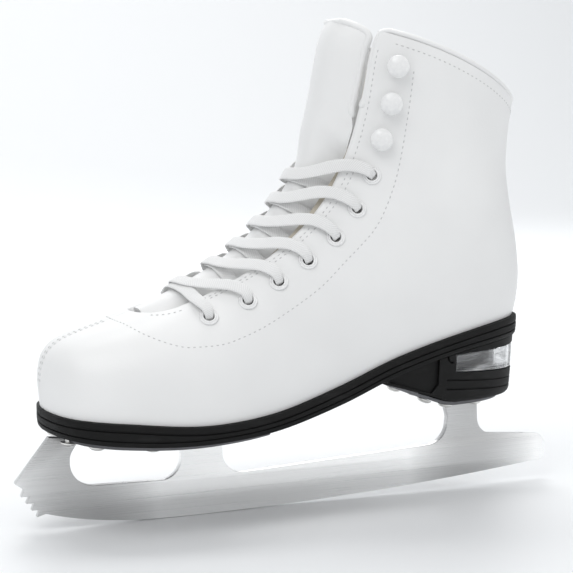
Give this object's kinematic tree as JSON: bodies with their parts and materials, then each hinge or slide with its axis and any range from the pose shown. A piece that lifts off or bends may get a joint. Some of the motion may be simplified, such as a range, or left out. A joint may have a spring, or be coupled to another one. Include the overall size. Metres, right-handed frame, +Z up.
{
  "type": "figure skate",
  "caption": "Laced white leather figure skate boot for the left foot, on a moulded heel and a screwed-on steel blade with toe picks.",
  "frame": {"origin": "on the ground, midway along the blade's length and on its mid plane, at its lowest point", "axes": "-X towards the toe, -Y towards the outer side of the foot, +Z up"},
  "size_m": [0.2851, 0.0889, 0.2384],
  "materials": {
    "white_leather": "smooth, coated, slightly glossy",
    "lining_fabric": "soft brushed",
    "stiffener": "pressed board",
    "insole_board": "fibre board",
    "black_rubber": "moulded, semi-matte",
    "clear_plastic": "clear, ribbed",
    "aglet_plastic": "clear sleeve over white cord",
    "brushed_steel": "brushed lengthways",
    "dark_steel": "dark grey, satin",
    "nickel": "nickel plated",
    "white_enamel": "white enamel, glossy",
    "lace_cotton": "flat woven"
  },
  "bodies": {
    "boot": {"upper_outer": "white_leather", "upper_inner": "white_leather", "backstay": "white_leather", "collar_binding": "white_leather", "tongue_root": "white_leather", "eyelet_stay_outer": "stiffener", "eyelet_stay_inner": "stiffener", "toe_puff": "stiffener", "heel_counter": "stiffener", "lining": "lining_fabric", "footbed": "lining_fabric", "insole_board": "insole_board", "outsole": "black_rubber", "heel_block": "black_rubber", "heel_insert": "clear_plastic", "aglet_outer": "aglet_plastic", "aglet_inner": "aglet_plastic", "eyelet_outer_1": "white_enamel", "eyelet_outer_2": "white_enamel", "eyelet_outer_3": "white_enamel", "eyelet_outer_4": "white_enamel", "eyelet_outer_5": "white_enamel", "eyelet_outer_6": "white_enamel", "eyelet_outer_7": "white_enamel", "hook_outer_1": "white_enamel", "hook_outer_2": "white_enamel", "hook_outer_3": "white_enamel", "eyelet_inner_1": "white_enamel", "eyelet_inner_2": "white_enamel", "eyelet_inner_3": "white_enamel", "eyelet_inner_4": "white_enamel", "eyelet_inner_5": "white_enamel", "eyelet_inner_6": "white_enamel", "eyelet_inner_7": "white_enamel", "hook_inner_1": "white_enamel", "hook_inner_2": "white_enamel", "hook_inner_3": "white_enamel", "lace": "lace_cotton", "front_mount_plate": "dark_steel", "heel_mount_plate": "dark_steel", "front_screw_1": "nickel", "front_screw_2": "nickel", "front_screw_3": "nickel", "front_screw_4": "nickel", "front_screw_5": "nickel", "front_screw_6": "nickel", "front_screw_7": "nickel", "front_screw_8": "nickel", "heel_screw_1": "nickel", "heel_screw_2": "nickel", "heel_screw_3": "nickel", "heel_screw_4": "nickel", "heel_screw_5": "nickel", "heel_screw_6": "nickel", "blade_runner": "brushed_steel"},
    "tongue": {"tongue_upper": "white_leather"}
  },
  "joints": [
    {"name": "tongue_fold", "type": "hinge", "parent": "boot", "child": "tongue", "pos_m": [0.0035, 0, 0.1868], "axis": [0, -1, 0], "range_deg": [0, 35]}
  ]
}
